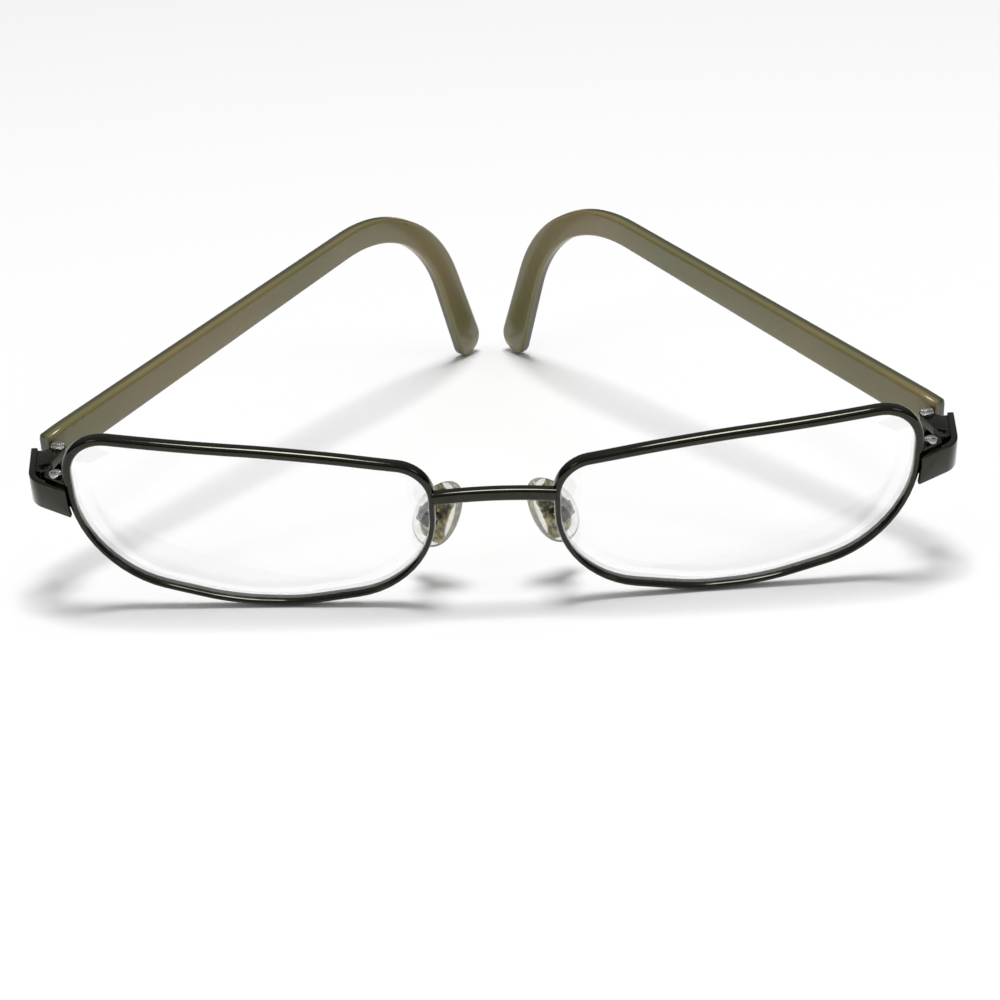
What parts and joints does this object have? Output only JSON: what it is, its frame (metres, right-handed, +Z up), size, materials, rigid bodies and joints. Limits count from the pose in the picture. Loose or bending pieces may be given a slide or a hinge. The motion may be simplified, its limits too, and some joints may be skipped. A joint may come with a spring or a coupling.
{
  "type": "eyeglasses",
  "caption": "Rectangular full-rim eyeglasses: slim dark metal front with clear lenses, adjustable nose pads and folding olive plastic temples.",
  "frame": {"origin": "middle of the footprint, on the table under the glasses", "axes": "+Z up, the front looks along -Y, +X to the wearer's left"},
  "size_m": [0.1376, 0.1157, 0.0352],
  "materials": {
    "gunmetal": "glossy dark plating",
    "steel": "bright screw steel",
    "lens": "clear optical plastic",
    "pad": "clear silicone",
    "insert": "dull olive gold",
    "temple": "translucent olive plastic"
  },
  "bodies": {
    "front": {"rim_right": "gunmetal", "rim_left": "gunmetal", "lens_right": "lens", "lens_left": "lens", "bridge": "gunmetal", "endpiece_right": "gunmetal", "endpiece_left": "gunmetal", "rim_lock_upper_right": "gunmetal", "rim_lock_upper_left": "gunmetal", "rim_lock_lower_right": "gunmetal", "rim_lock_lower_left": "gunmetal", "rim_lock_screw_right": "steel", "rim_lock_screw_left": "steel", "pad_arm_right": "gunmetal", "pad_arm_left": "gunmetal", "pad_screw_right": "steel", "pad_screw_left": "steel", "hinge_front_right": "gunmetal", "hinge_front_left": "gunmetal", "hinge_screw_right": "steel", "hinge_screw_left": "steel"},
    "temple_right": {"temple_right": "temple", "hinge_temple_right": "gunmetal"},
    "temple_left": {"temple_left": "temple", "hinge_temple_left": "gunmetal"},
    "pad_right": {"nose_pad_right": "pad", "pad_insert_right": "insert"},
    "pad_left": {"nose_pad_left": "pad", "pad_insert_left": "insert"}
  },
  "joints": [
    {"name": "temple_right_fold", "type": "hinge", "parent": "front", "child": "temple_right", "pos_m": [-0.0648, -0.04105, 0.02075], "axis": [0, 0.1805, -0.9836], "range_deg": [-35, 52]},
    {"name": "temple_left_fold", "type": "hinge", "parent": "front", "child": "temple_left", "pos_m": [0.0648, -0.04105, 0.02075], "axis": [0, -0.1805, 0.9836], "range_deg": [-35, 57]},
    {"name": "pad_right_rock", "type": "hinge", "parent": "front", "child": "pad_right", "pos_m": [-0.00969, -0.04661, 0.01169], "axis": [-0.6568, 0.6809, 0.3241], "range_deg": [-8, 8]},
    {"name": "pad_left_rock", "type": "hinge", "parent": "front", "child": "pad_left", "pos_m": [0.00969, -0.04661, 0.01169], "axis": [0.6568, 0.6809, 0.3241], "range_deg": [-8, 8]}
  ]
}
